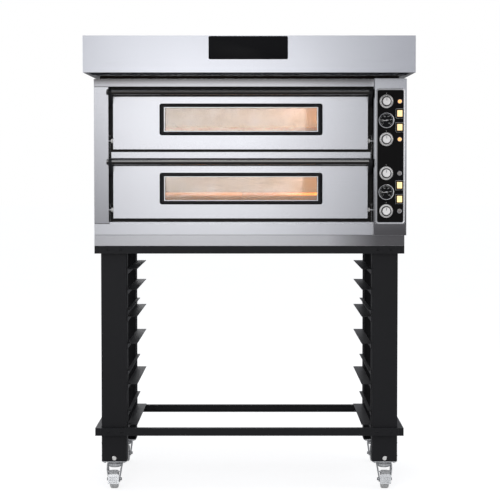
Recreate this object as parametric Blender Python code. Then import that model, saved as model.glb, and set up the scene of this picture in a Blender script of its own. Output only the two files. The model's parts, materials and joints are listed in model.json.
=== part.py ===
"""Twin-deck electric pizza oven with an extraction hood, on a stand with tray rails and castors.

Metres, +Z up. The front faces -Y and +X is to the right of someone who stands in front. The
origin is on the floor, under the middle of the outer box. Each sub-part is one object, named
after what it is. A moving piece, or the empty that it hangs from, sits on its joint's axis.
"""

import math

import bmesh
import bpy
from mathutils import Matrix, Vector

# ------------------------------------------------------------------ driving dimensions, metres
GAP = 0.0003  # between pieces that rest on each other
SHEET = 0.002  # stainless sheet
X, Y, Z = range(3)
SIDES = {"left": -1, "right": 1}
ENDS = {"front": -1, "rear": 1}

# Stand
FRONT = -0.295  # front plane of the stand and of the oven's casing
STAND_REAR = 0.365
CASING_HALF = 0.679  # half the casing's width, and the stand's
STAND_TOP = 1.0737
STAND_SHEET = 0.0025
LEG_FOOT = 0.118
LEG_INNER, LEG_OUTER = 0.542, 0.6525
LEG_DEPTH = 0.080
LEG_PLATE = 0.003  # folded ends of a leg
LEG_HOLE_RADIUS, LEG_HOLE_X, LEG_HOLE_Z = 0.009, 0.600, 0.132
BAR_HEIGHT, BAR_DEPTH = 0.034, 0.022
SIDE_BAR_INNER = 0.655
BAR_TOPS = {"upper": STAND_TOP, "lower": 0.270}

# Tray racks: shelves on a 30 mm pitch, counted from the lowest
RAIL_PITCH, LOWEST_RAIL = 0.030, 0.280
WIDE_RAILS, NARROW_RAILS = (0, 6, 12, 16, 20, 23), (2, 8, 17)
WIDE_RAIL_TIP, NARROW_RAIL_TIP, RAIL_ROOT = 0.496, 0.525, 0.5400
RAIL_THICKNESS, RAIL_DROP = 0.002, 0.025
RACK_FRONT, RACK_REAR = -0.255, 0.325
UPRIGHT_WIDTH, UPRIGHT_BOTTOM, UPRIGHT_TOP = 0.040, 0.242, 1.036

# Castors
CASTOR_X = 0.5972
CASTOR_Y = {"front": -0.2325, "rear": 0.3025}
WHEEL_RADIUS, WHEEL_HALF = 0.040, 0.018
TRAIL = 0.036  # from the swivel axis to the axle
AXLE_RADIUS, BORE_RADIUS = 0.006, 0.0062
FORK_INNER, FORK_THICKNESS, FORK_FLARE = 0.0212, 0.004, 0.14
CROWN_BOTTOM, CROWN_TOP, CROWN_RADIUS = 0.0960, 0.1045, 0.0345
RACE_TOP, RACE_RADIUS = 0.1140, 0.031
PLATE_HALF_X, PLATE_HALF_Y = 0.052, 0.038
PEDAL_ARM_HALF, PEDAL_PAD_HALF = 0.0195, 0.0240
PEDAL_REACH, PEDAL_HEIGHT = 0.064, 0.0785  # the pedal's pivot, ahead of the swivel axis and up

# Casing
REAR = 0.535
FRONT_FRAME_BACK = -0.2185  # how far back the column, strips and control housing reach
CASING_BOTTOM, CASING_TOP = 1.074, 1.803
PAN_TOP = 1.121
FASCIA_BOTTOM, FASCIA_TOP = 1.1225, 1.1695  # lower fascia
LEDGE_LIP = 0.007
STRIP_BOTTOM, STRIP_TOP = 1.4577, 1.4841  # strip between the decks
STRIP_LEFT, STRIP_RIGHT = -0.603, 0.529
HEAD_BOTTOM = 1.770  # upper fascia
COLUMN_INNER, COLUMN_SEAM = -0.616, 0.0025  # the seam is the open joint above and below the column
HOUSING_LEFT, HOUSING_RIGHT = 0.540, 0.6825
HOUSING_FRONT = -0.345
HOUSING_CHAMFER = 0.004
RECESS_BACK = -0.2205  # wall behind the doors' swinging lower edges

# Decks, given for the lower one
DECKS = {"lower": 0.0, "upper": 0.302}
DOOR_LEFT, DOOR_RIGHT = -0.595, 0.517
DOOR_BOTTOM, DOOR_TOP = 1.1945, 1.4235
DOOR_DEPTH = 0.048
HINGE_Y, HINGE_Z = -0.271, 1.231
WINDOW_X, WINDOW_Z = -0.0365, 1.3247  # middle of the window
WINDOW_HALF_WIDTH, WINDOW_HALF_HEIGHT = 0.345, 0.059
GLASS_FRONT, GLASS_THICKNESS = -0.292, 0.005
BAR_Y, BAR_Z, HANDLE_RADIUS = -0.355, 1.4414, 0.0125
BRACKET_THICKNESS, BRACKET_EYE = 0.015, 0.0150
BAR_OVERHANG = 0.008  # of the tube past its left bracket, in front of the column
CHAMBER_LEFT, CHAMBER_RIGHT = -0.565, 0.485
CHAMBER_BACK = 0.455
CHAMBER_FLOOR, CHAMBER_CEILING = 1.2602, 1.412
HEARTH_TOP = 1.292
LINER_WALL = 0.003
FLANGE_FRONT, FLANGE_BOTTOM = -0.2445, 1.2570

# Controls
PLATE_X, PLATE_HALF_WIDTH = 0.6112, 0.0575
PLATE_BOTTOM, PLATE_TOP = 1.1785, 1.7535
PLATE_BACK, PLATE_FRONT = -0.3453, -0.3485
RIM_WIDTH = 0.006
DIAL_X, SWITCH_X = 0.5936, 0.6515
GAUGE_Z = {"lower": 1.3105, "upper": 1.6215}
KNOB_STEP, SWITCH_STEP = 0.082, 0.030  # above and below the gauge
NEEDLE_ANGLE = 97  # degrees anticlockwise from straight up

# Hood
HOOD_HALF, HOOD_FRONT, HOOD_REAR = 0.7005, -0.535, 0.5345
HOOD_BOTTOM, HOOD_TOP = 1.8185, 1.9735
NECK_HALF, NECK_FRONT, NECK_REAR = 0.655, -0.270, 0.533
MOUTH_HALF, MOUTH_FRONT, MOUTH_REAR = 0.680, -0.520, -0.300
FLUE_Y, FLUE_RADIUS, FLUE_TOP = 0.230, 0.0745, 2.0185

# Looks: base colour, roughness, metallic
STAINLESS = ((0.62, 0.62, 0.65), 0.34, 1.0)
BRIGHT_STEEL = ((0.74, 0.73, 0.71), 0.18, 1.0)
BLACK_PAINT = ((0.030, 0.031, 0.033), 0.50, 0.0)
BLACK_PLATE = ((0.012, 0.012, 0.014), 0.35, 0.0)
ZINC = ((0.60, 0.61, 0.62), 0.35, 1.0)
GREY_RUBBER = ((0.68, 0.68, 0.66), 0.60, 0.0)
CHAMBER_STEEL = ((0.55, 0.47, 0.38), 0.50, 0.8)
FIREBRICK = ((0.60, 0.38, 0.20), 0.90, 0.0)
KNOB_PLASTIC = ((0.78, 0.77, 0.74), 0.35, 0.0)
LIT_CREAM = ((0.95, 0.80, 0.45), 0.40, 0.0)
NEEDLE_WHITE = ((0.85, 0.85, 0.80), 0.50, 0.0)
CLEAR_GLASS = ((0.80, 0.78, 0.72), 0.05, 0.0)


# ------------------------------------------------------------------ modelling helpers
def clear_scene():
    for obj in list(bpy.data.objects):
        bpy.data.objects.remove(obj)


def mesh_object(bm):
    """Puts a bmesh in the scene as an object with its faces turned outwards."""
    bmesh.ops.recalc_face_normals(bm, faces=bm.faces)
    mesh = bpy.data.meshes.new("shape")
    bm.to_mesh(mesh)
    bm.free()
    obj = bpy.data.objects.new("shape", mesh)
    bpy.context.scene.collection.objects.link(obj)
    return obj


def block(low, high):
    """A box between two corners, whichever way round each pair of numbers is."""
    bm = bmesh.new()
    bmesh.ops.create_cube(bm, size=1)
    bmesh.ops.scale(bm, vec=[abs(b - a) for a, b in zip(low, high)], verts=bm.verts)
    bmesh.ops.translate(bm, vec=[(a + b) / 2 for a, b in zip(low, high)], verts=bm.verts)
    return mesh_object(bm)


def prism(outline, axis, start, end):
    """A flat outline pushed along an axis. Its points are in the other two axes, in X, Y, Z order."""
    first, second = [k for k in (X, Y, Z) if k != axis]
    bm = bmesh.new()
    corners = []
    for u, v in outline:
        point = Vector()
        point[axis], point[first], point[second] = start, u, v
        corners.append(bm.verts.new(point))
    made = bmesh.ops.extrude_face_region(bm, geom=[bm.faces.new(corners)])
    shift = Vector()
    shift[axis] = end - start
    moved = [g for g in made["geom"] if isinstance(g, bmesh.types.BMVert)]
    bmesh.ops.translate(bm, vec=shift, verts=moved)
    return mesh_object(bm)


def turned(profile, centre, axis, segments):
    """A profile of (radius, distance along the axis) spun round the axis. It is closed if it is a ring."""
    bm = bmesh.new()
    points = [bm.verts.new((radius, 0, along)) for radius, along in profile]
    pairs = list(zip(points, points[1:]))
    if profile[0][0] > 0:
        pairs.append((points[-1], points[0]))
    edges = [bm.edges.new(pair) for pair in pairs]
    bmesh.ops.spin(bm, geom=points + edges, axis=(0, 0, 1), angle=math.tau, steps=segments)
    bmesh.ops.remove_doubles(bm, verts=bm.verts, dist=1e-6)
    turn = Vector((0, 0, 1)).rotation_difference(Vector(axis)).to_matrix().to_4x4()
    bmesh.ops.transform(bm, matrix=Matrix.Translation(centre) @ turn, verts=bm.verts)
    return mesh_object(bm)


def rod(start, end, radius, segments):
    along = Vector(end) - Vector(start)
    profile = [(0, 0), (radius, 0), (radius, along.length), (0, along.length)]
    return turned(profile, start, along, segments)


def arc(centre, radius, start, end, steps):
    """Points on a circle, from one angle to another, in degrees."""
    angles = [math.radians(start + (end - start) * k / steps) for k in range(steps + 1)]
    return [(centre[0] + radius * math.cos(a), centre[1] + radius * math.sin(a)) for a in angles]


def combine(base, others, operation):
    """The base joined with, or cut by, the others, which are then removed."""
    for other in others:
        boolean = base.modifiers.new("boolean", "BOOLEAN")
        boolean.operation = operation
        boolean.object = other
    graph = bpy.context.evaluated_depsgraph_get()
    result = bpy.data.meshes.new_from_object(base.evaluated_get(graph))
    base.modifiers.clear()
    base.data = result
    for other in others:
        bpy.data.objects.remove(other)
    return base


def join(base, *others):
    return combine(base, others, "UNION")


def cut(base, *others):
    return combine(base, others, "DIFFERENCE")


def tray(low, high, wall, open_side):
    """A folded sheet box with one side left open, given as (axis, which end)."""
    inner_low = [value + wall for value in low]
    inner_high = [value - wall for value in high]
    axis, end = open_side
    if end < 0:
        inner_low[axis] = low[axis] - wall
    else:
        inner_high[axis] = high[axis] + wall
    return cut(block(low, high), block(inner_low, inner_high))


def mirrored(low, high, side):
    """The same corners on the given side of the middle plane, sorted."""
    ends = sorted((side * low[X], side * high[X]))
    return (ends[0], *low[1:]), (ends[1], *high[1:])


def pivot(name, place, parent=None):
    """An empty on a joint's axis."""
    empty = bpy.data.objects.new(name, None)
    empty.empty_display_size = 0.05
    bpy.context.scene.collection.objects.link(empty)
    empty.location = Vector(place) - (Vector(parent["world"]) if parent else Vector())
    empty["world"] = list(place)
    empty.parent = parent
    return empty


def finish(obj, name, look, parent=None, smooth=False):
    """Names a sub-part, gives it its own material, and hangs it from its parent's axis."""
    colour, roughness, metallic = look
    material = bpy.data.materials.new(name)
    material.use_nodes = True
    shader = material.node_tree.nodes["Principled BSDF"]
    shader.inputs["Base Color"].default_value = (*colour, 1)
    shader.inputs["Roughness"].default_value = roughness
    shader.inputs["Metallic"].default_value = metallic
    if look is CLEAR_GLASS:
        shader.inputs["Transmission Weight"].default_value = 1
    obj.name = name
    obj.data.name = name
    obj.data.materials.clear()
    obj.data.materials.append(material)
    if smooth:
        obj.data.shade_smooth()
        obj.data.set_sharp_from_angle(angle=math.radians(35))
    if parent:
        obj.data.transform(Matrix.Translation(-Vector(parent["world"])))
        obj.parent = parent
    return obj


# ------------------------------------------------------------------ stand
def leg(end, side_name):
    """A folded channel, open towards the middle of the stand, with a lifting hole in the front ones."""
    side = SIDES[side_name]
    near, far = FRONT + BAR_DEPTH + GAP, FRONT + BAR_DEPTH + LEG_DEPTH
    if end == "rear":
        near, far = STAND_REAR - BAR_DEPTH - LEG_DEPTH, STAND_REAR - BAR_DEPTH - GAP
    low, high = mirrored((LEG_INNER, near, LEG_FOOT), (LEG_OUTER, far, STAND_TOP - GAP), side)
    post = tray(low, high, LEG_PLATE, (Y, -ENDS[end]))
    if end == "front":
        at = (side * LEG_HOLE_X, near - LEG_PLATE, LEG_HOLE_Z)
        through = (at[X], near + 2 * LEG_PLATE, at[Z])
        cut(post, rod(at, through, LEG_HOLE_RADIUS, 16))
    finish(post, f"stand_leg_{end}_{side_name}", BLACK_PAINT)


def stand_bars(level):
    """Two long bars across the legs' faces, between two side bars outside the legs."""
    top = BAR_TOPS[level]
    for side_name, side in SIDES.items():
        low = (SIDE_BAR_INNER + GAP, FRONT, top - BAR_HEIGHT)
        high = (CASING_HALF, STAND_REAR, top)
        bar = tray(*mirrored(low, high, side), STAND_SHEET, (X, -side))
        finish(bar, f"{level}_bar_{side_name}", BLACK_PAINT)
    for end in ENDS:
        near = FRONT if end == "front" else STAND_REAR - BAR_DEPTH
        low = (-SIDE_BAR_INNER, near, top - BAR_HEIGHT)
        high = (SIDE_BAR_INNER, near + BAR_DEPTH, top)
        bar = tray(low, high, STAND_SHEET, (Y, -ENDS[end]))
        finish(bar, f"{level}_bar_{end}", BLACK_PAINT)


def tray_rack(side_name):
    """Two uprights with wide and narrow angle rails that run from front to back."""
    side = SIDES[side_name]
    rails = [(step, WIDE_RAIL_TIP) for step in WIDE_RAILS]
    rails += [(step, NARROW_RAIL_TIP) for step in NARROW_RAILS]
    angles = []
    for step, tip in rails:
        top = LOWEST_RAIL + RAIL_PITCH * step
        under = top - RAIL_THICKNESS
        outline = [
            (side * tip, top),
            (side * RAIL_ROOT, top),
            (side * RAIL_ROOT, top - RAIL_DROP),
            (side * (RAIL_ROOT - RAIL_THICKNESS), top - RAIL_DROP),
            (side * (RAIL_ROOT - RAIL_THICKNESS), under),
            (side * tip, under),
        ]
        angles.append(prism(outline, Y, RACK_FRONT, RACK_REAR))
    uprights = []
    for start in (RACK_FRONT, RACK_REAR - UPRIGHT_WIDTH):
        low = (RAIL_ROOT - RAIL_THICKNESS / 2, start, UPRIGHT_BOTTOM)
        high = (LEG_INNER - GAP, start + UPRIGHT_WIDTH, UPRIGHT_TOP)
        uprights.append(block(*mirrored(low, high, side)))
    rack = join(uprights[0], *angles, uprights[1])
    finish(rack, f"tray_rack_{side_name}", BLACK_PAINT)


# ------------------------------------------------------------------ castors
def castor(end, side_name):
    """A swivel castor. The front ones trail forwards and carry a brake pedal."""
    place = f"{end}_{side_name}"
    centre = Vector((SIDES[side_name] * CASTOR_X, CASTOR_Y[end], 0))
    way = ENDS[end]  # the wheel trails outwards from the stand
    castor_plate(place, centre)
    swivel = pivot(f"castor_swivel_{place}", (centre.x, centre.y, CROWN_TOP))
    axle = centre + Vector((0, way * TRAIL, WHEEL_RADIUS))
    fork(place, centre, axle, way, swivel)
    wheel(place, axle, pivot(f"castor_axle_{place}", axle, swivel))
    if end == "front":
        brake_pedal(place, centre, way, swivel)


def castor_plate(place, centre):
    """The bolted top plate and the upper ball race."""
    corner = Vector((PLATE_HALF_X, PLATE_HALF_Y, 0))
    low, high = centre - corner, centre + corner
    low.z, high.z = RACE_TOP - GAP, LEG_FOOT - GAP
    race = [(0, 0), (RACE_RADIUS - 0.004, 0), (RACE_RADIUS, 0.004), (RACE_RADIUS, 0.011), (0, 0.011)]
    start = centre + Vector((0, 0, CROWN_TOP + GAP))
    plate = join(block(low, high), turned(race, start, (0, 0, 1), 24))
    finish(plate, f"castor_plate_{place}", ZINC)


def fork(place, centre, axle, way, swivel):
    """The crown, two flared arms and the axle bolt that joins them."""
    arms = []
    for side in SIDES.values():
        outline = [
            *arc((axle.y, axle.z), 0.013, -90 - way * 100, -90 + way * 60, 8),
            (centre.y + way * (PEDAL_REACH + 0.006), PEDAL_HEIGHT - 0.006),
            (centre.y + way * (PEDAL_REACH + 0.006), PEDAL_HEIGHT + 0.006),
            (centre.y + way * 0.030, CROWN_TOP - 0.001),
            (centre.y - way * 0.026, CROWN_TOP - 0.001),
        ]
        inner = side * FORK_INNER
        arm = prism(outline, X, inner, inner + side * FORK_THICKNESS)
        for vertex in arm.data.vertices:
            vertex.co.x += side * FORK_FLARE * max(0, vertex.co.z - WHEEL_RADIUS)
        arm.data.transform(Matrix.Translation((centre.x, 0, 0)))
        arms.append(arm)
    crown = rod(
        centre + Vector((0, 0, CROWN_BOTTOM)), centre + Vector((0, 0, CROWN_TOP)), CROWN_RADIUS, 24
    )
    reach = Vector((FORK_INNER + FORK_THICKNESS + 0.002, 0, 0))
    bolt = rod(axle - reach, axle + reach, AXLE_RADIUS, 16)
    body = join(crown, *arms, bolt)
    finish(body, f"castor_fork_{place}", ZINC, swivel)


def wheel(place, axle, parent):
    """A tread with round shoulders on a hub that is a little wider."""
    half, radius = WHEEL_HALF, WHEEL_RADIUS
    hub, web = FORK_INNER - 0.0012, 0.011
    profile = [
        (BORE_RADIUS, -hub),
        (0.013, -hub),
        (0.014, -web),
        (0.027, -web),
        (0.029, -half),
        (radius - 0.006, -half),
        (radius - 0.0015, -half + 0.005),
        (radius, -half + 0.011),
    ]
    profile += [(r, -along) for r, along in reversed(profile)]
    tyre = turned(profile, axle, (1, 0, 0), 32)
    finish(tyre, f"castor_wheel_{place}", GREY_RUBBER, parent, smooth=True)


def brake_pedal(place, centre, way, swivel):
    """A bent lever on its own pin between the fork's arms, with a wide tread ahead of the wheel."""
    at = centre + Vector((0, way * PEDAL_REACH, PEDAL_HEIGHT))
    holder = pivot(f"brake_pivot_{place}", at, swivel)
    lever = [
        (at.y - way * 0.007, at.z - 0.001),
        (at.y + way * 0.001, at.z - 0.006),
        (at.y + way * 0.019, at.z - 0.012),
        (at.y + way * 0.027, 0.036),
        (at.y + way * 0.030, 0.036),
        (at.y + way * 0.023, at.z - 0.008),
        (at.y + way * 0.002, at.z + 0.006),
        (at.y - way * 0.007, at.z + 0.005),
    ]
    tread = [
        (at.y + way * 0.0195, at.z - 0.014),
        (at.y + way * 0.0290, 0.030),
        (at.y + way * 0.0335, 0.030),
        (at.y + way * 0.0245, at.z - 0.009),
    ]
    arm = prism(lever, X, centre.x - PEDAL_ARM_HALF, centre.x + PEDAL_ARM_HALF)
    pad = prism(tread, X, centre.x - PEDAL_PAD_HALF, centre.x + PEDAL_PAD_HALF)
    finish(join(arm, pad), f"brake_pedal_{place}", ZINC, holder)


# ------------------------------------------------------------------ casing
def base_pan():
    low = (-CASING_HALF, FRONT, CASING_BOTTOM)
    pan = tray(low, (CASING_HALF, REAR - 0.004, PAN_TOP), SHEET, (Z, 1))
    finish(pan, "base_pan", STAINLESS)


def casing_wrap():
    """Both sides and the roof, bent from one sheet."""
    outer, inner = CASING_HALF, CASING_HALF - SHEET
    foot = PAN_TOP + GAP
    outline = [
        (-outer, foot),
        (-outer, CASING_TOP),
        (outer, CASING_TOP),
        (outer, foot),
        (inner, foot),
        (inner, CASING_TOP - SHEET),
        (-inner, CASING_TOP - SHEET),
        (-inner, foot),
    ]
    wrap = prism(outline, Y, FRONT_FRAME_BACK + 2 * GAP, REAR - 0.004)
    finish(wrap, "casing_wrap", STAINLESS)


def rear_panel():
    low = (-CASING_HALF, REAR - 0.0035, CASING_BOTTOM)
    finish(block(low, (CASING_HALF, REAR, CASING_TOP)), "rear_panel", STAINLESS)


def left_column():
    low = (-CASING_HALF, FRONT, FASCIA_TOP + COLUMN_SEAM)
    high = (COLUMN_INNER, FRONT_FRAME_BACK, HEAD_BOTTOM - COLUMN_SEAM)
    finish(tray(low, high, SHEET, (Y, 1)), "left_column", STAINLESS)


def top_fascia():
    low = (-CASING_HALF, FRONT, HEAD_BOTTOM)
    high = (HOUSING_LEFT - GAP, FRONT_FRAME_BACK, CASING_TOP)
    finish(tray(low, high, SHEET, (Y, 1)), "top_fascia", STAINLESS)


def front_channel(left, right, bottom, top, return_depth):
    """A strip of the front: its face, a ledge above that runs back into the door's recess, and a return below."""
    outline = [
        (FRONT, bottom),
        (FRONT, top),
        (RECESS_BACK + SHEET, top),
        (RECESS_BACK + SHEET, top - SHEET),
        (FRONT + SHEET, top - SHEET),
        (FRONT + SHEET, bottom + SHEET),
        (return_depth, bottom + SHEET),
        (return_depth, bottom),
    ]
    return prism(outline, X, left, right)


def recess_wall(bottom, top):
    """The dark wall behind a door's lower edge."""
    low = (COLUMN_INNER + 2 * GAP, RECESS_BACK, bottom)
    return block(low, (HOUSING_LEFT - 2 * GAP, RECESS_BACK + SHEET, top))


def middle_strip():
    strip = front_channel(STRIP_LEFT, STRIP_RIGHT, STRIP_BOTTOM, STRIP_TOP, FLANGE_FRONT + LINER_WALL)
    wall = recess_wall(STRIP_BOTTOM, FLANGE_BOTTOM + DECKS["upper"] - GAP)
    finish(join(strip, wall), "middle_strip", STAINLESS)


def bottom_fascia():
    strip = front_channel(
        -CASING_HALF, HOUSING_LEFT - GAP, FASCIA_BOTTOM, FASCIA_TOP, FRONT_FRAME_BACK
    )
    wall = recess_wall(FASCIA_TOP - SHEET, FLANGE_BOTTOM - GAP)
    lip = block(
        (COLUMN_INNER + 2 * GAP, -0.262, FASCIA_TOP - SHEET / 2),
        (HOUSING_LEFT - 2 * GAP, RECESS_BACK + SHEET / 2, FASCIA_TOP + LEDGE_LIP),
    )
    finish(join(strip, wall, lip), "bottom_fascia", STAINLESS)


def control_housing():
    """A box that stands ahead of the casing, open behind, with a framed opening for the control plate."""

    def plan(inset):
        left, right, front = HOUSING_LEFT + inset, HOUSING_RIGHT - inset, HOUSING_FRONT + inset
        return [
            (left, front + HOUSING_CHAMFER),
            (left + HOUSING_CHAMFER, front),
            (right - HOUSING_CHAMFER, front),
            (right, front + HOUSING_CHAMFER),
            (right, FRONT_FRAME_BACK + inset),
            (left, FRONT_FRAME_BACK + inset),
        ]

    def framed(margin, front, back):
        half = PLATE_HALF_WIDTH + margin
        low = (PLATE_X - half, front, PLATE_BOTTOM - margin)
        return block(low, (PLATE_X + half, back, PLATE_TOP + margin))

    shell = prism(plan(0), Z, FASCIA_BOTTOM, CASING_TOP - 0.0005)
    hollow = prism(plan(SHEET), Z, FASCIA_BOTTOM + SHEET, CASING_TOP - SHEET)
    opening = framed(-0.006, HOUSING_FRONT - SHEET, HOUSING_FRONT + 2 * SHEET)
    rim = framed(RIM_WIDTH, PLATE_FRONT, HOUSING_FRONT + SHEET / 2)
    seat = framed(GAP, PLATE_FRONT - SHEET, HOUSING_FRONT)
    housing = cut(join(cut(shell, hollow), rim), seat, opening)
    finish(housing, "control_housing", STAINLESS)


# ------------------------------------------------------------------ decks
def chamber_liner(deck, lift):
    """The steel chamber, with a flange round its mouth that the door closes on."""
    wall = LINER_WALL
    low = (CHAMBER_LEFT - wall, FLANGE_FRONT, CHAMBER_FLOOR - wall + lift)
    high = (CHAMBER_RIGHT + wall, CHAMBER_BACK + wall, CHAMBER_CEILING + wall + lift)
    flange_top = (HEAD_BOTTOM if deck == "upper" else STRIP_BOTTOM) - GAP
    flange = block(
        (COLUMN_INNER + 2 * GAP, FLANGE_FRONT, FLANGE_BOTTOM + lift),
        (HOUSING_LEFT - 2 * GAP, FLANGE_FRONT + wall - GAP, flange_top),
    )
    cavity = block(
        (CHAMBER_LEFT, FLANGE_FRONT - wall, CHAMBER_FLOOR + lift),
        (CHAMBER_RIGHT, CHAMBER_BACK, CHAMBER_CEILING + lift),
    )
    liner = cut(join(block(low, high), flange), cavity)
    finish(liner, f"chamber_liner_{deck}", CHAMBER_STEEL)


def hearth(deck, lift):
    """The refractory slab that the pizzas bake on."""
    margin = 0.002
    low = (CHAMBER_LEFT + margin, FLANGE_FRONT + 0.006, CHAMBER_FLOOR + GAP + lift)
    high = (CHAMBER_RIGHT - margin, CHAMBER_BACK - margin, HEARTH_TOP + lift)
    finish(block(low, high), f"hearth_{deck}", FIREBRICK)


def window_block(half_width, half_height, front, back, lift):
    low = (WINDOW_X - half_width, front, WINDOW_Z - half_height + lift)
    return block(low, (WINDOW_X + half_width, back, WINDOW_Z + half_height + lift))


def door(deck, lift):
    """A hollow door that drops forwards on pins near its lower edge, with a window and a bar handle."""
    hinge = pivot(f"door_hinge_{deck}", ((DOOR_LEFT + DOOR_RIGHT) / 2, HINGE_Y, HINGE_Z + lift))
    low = Vector((DOOR_LEFT, FRONT, DOOR_BOTTOM + lift))
    high = Vector((DOOR_RIGHT, FRONT + DOOR_DEPTH, DOOR_TOP + lift))
    skin = Vector((SHEET, SHEET, SHEET))
    window = window_block(
        WINDOW_HALF_WIDTH, WINDOW_HALF_HEIGHT, FRONT - SHEET, FRONT + DOOR_DEPTH + SHEET, lift
    )
    panel = cut(block(low, high), block(low + skin, high - skin), window)
    finish(panel, f"door_panel_{deck}", STAINLESS, hinge)
    pane = window_block(
        WINDOW_HALF_WIDTH - 0.001,
        WINDOW_HALF_HEIGHT - 0.001,
        GLASS_FRONT,
        GLASS_FRONT + GLASS_THICKNESS,
        lift,
    )
    finish(pane, f"door_glass_{deck}", CLEAR_GLASS, hinge)
    door_handle(deck, lift, hinge)


def door_handle(deck, lift, hinge):
    """A tube across the whole door, held by a tapered bracket at each end."""
    height = BAR_Z + lift
    back = FRONT + 0.033
    outline = [
        (back, height - 0.058),
        (back, height + 0.008),
        (FRONT - 0.010, height + 0.010),
        *arc((BAR_Y, height), BRACKET_EYE, 80, 235, 8),
        (FRONT + 0.001, height - 0.058),
    ]
    left, right = DOOR_LEFT - GAP, DOOR_RIGHT + GAP
    brackets = [
        prism(outline, X, left - BRACKET_THICKNESS, left),
        prism(outline, X, right, right + BRACKET_THICKNESS),
    ]
    start = left - BRACKET_THICKNESS - BAR_OVERHANG
    end = right + BRACKET_THICKNESS / 2
    tube = rod((start, BAR_Y, height), (end, BAR_Y, height), HANDLE_RADIUS, 20)
    finish(join(tube, *brackets), f"door_handle_{deck}", BRIGHT_STEEL, hinge)


# ------------------------------------------------------------------ controls
def switch_places():
    for deck, middle in GAUGE_Z.items():
        for row, way in {"lower": -1, "upper": 1}.items():
            yield f"{deck}_deck_{row}", middle + way * SWITCH_STEP


def control_plate():
    """The black plate, with a raised bezel and a shallow pocket for each switch."""
    low = (PLATE_X - PLATE_HALF_WIDTH, PLATE_FRONT, PLATE_BOTTOM)
    plate = block(low, (PLATE_X + PLATE_HALF_WIDTH, PLATE_BACK, PLATE_TOP))
    bezels, pockets = [], []
    for _, height in switch_places():
        bezels.append(
            block(
                (SWITCH_X - 0.0135, PLATE_FRONT - 0.005, height - 0.017),
                (SWITCH_X + 0.0135, PLATE_FRONT + 0.001, height + 0.017),
            )
        )
        pockets.append(
            block(
                (SWITCH_X - 0.01125, PLATE_FRONT - 0.006, height - 0.01425),
                (SWITCH_X + 0.01125, PLATE_FRONT + 0.0013, height + 0.01425),
            )
        )
    finish(cut(join(plate, *bezels), *pockets), "control_plate", BLACK_PLATE)


def rocker_switches():
    """Rocker caps with a shallow valley, at rest with the upper end pressed in."""
    half_height, half_width, tilt = 0.01365, 0.01065, -4
    for name, height in switch_places():
        at = Vector((SWITCH_X, PLATE_FRONT - 0.0035, height))
        outline = [
            (0.0030, -half_height),
            (-0.0035, -half_height),
            (-0.0025, 0),
            (-0.0035, half_height),
            (0.0030, half_height),
        ]
        cap = prism(outline, X, -half_width, half_width)
        cap.data.transform(Matrix.Translation(at) @ Matrix.Rotation(math.radians(tilt), 4, "X"))
        finish(cap, f"switch_{name}", LIT_CREAM, pivot(f"switch_axis_{name}", at))


def knobs():
    """Round knobs with a wide skirt and a raised pointer on the cap."""
    profile = [
        (0, 0.0008),
        (0.0290, 0.0008),
        (0.0293, 0.0035),
        (0.0275, 0.0055),
        (0.0190, 0.0065),
        (0.0175, 0.0085),
        (0.0170, 0.0230),
        (0.0155, 0.0245),
        (0, 0.0245),
    ]
    for deck, middle in GAUGE_Z.items():
        for row, way in {"lower": -1, "upper": 1}.items():
            at = Vector((DIAL_X, PLATE_FRONT, middle + way * KNOB_STEP))
            body = turned(profile, at, (0, -1, 0), 24)
            pointer = block(
                at + Vector((-0.0012, -0.0255, 0.004)), at + Vector((0.0012, -0.0235, 0.0150))
            )
            name = f"{deck}_deck_{row}"
            axis = pivot(f"knob_axis_{name}", at)
            finish(join(body, pointer), f"knob_{name}", KNOB_PLASTIC, axis, smooth=True)


def gauges():
    """Dial thermometers: a rimmed cup with the needle inside."""
    profile = [
        (0, 0),
        (0.0340, 0),
        (0.0340, 0.0080),
        (0.0325, 0.0095),
        (0.0305, 0.0095),
        (0.0295, 0.0045),
        (0, 0.0045),
    ]
    hub, half_tip, reach, tail = 0.0032, 0.0004, 0.0235, 0.0085
    pointer = [
        (half_tip, reach),
        *arc((0, 0), hub, 70, -70, 4),
        (0.0010, -tail),
        (-0.0010, -tail),
        *arc((0, 0), hub, 250, 110, 4),
        (-half_tip, reach),
    ]
    for deck, height in GAUGE_Z.items():
        at = Vector((DIAL_X, PLATE_FRONT - GAP, height))
        cup = turned(profile, at, (0, -1, 0), 32)
        finish(cup, f"gauge_{deck}", BRIGHT_STEEL, smooth=True)
        needle = prism(pointer, Y, -0.0062, -0.0050)
        turn = Matrix.Rotation(math.radians(-NEEDLE_ANGLE), 4, "Y")
        needle.data.transform(Matrix.Translation(at) @ turn)
        finish(needle, f"gauge_needle_{deck}", NEEDLE_WHITE, pivot(f"needle_axis_{deck}", at))


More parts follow.
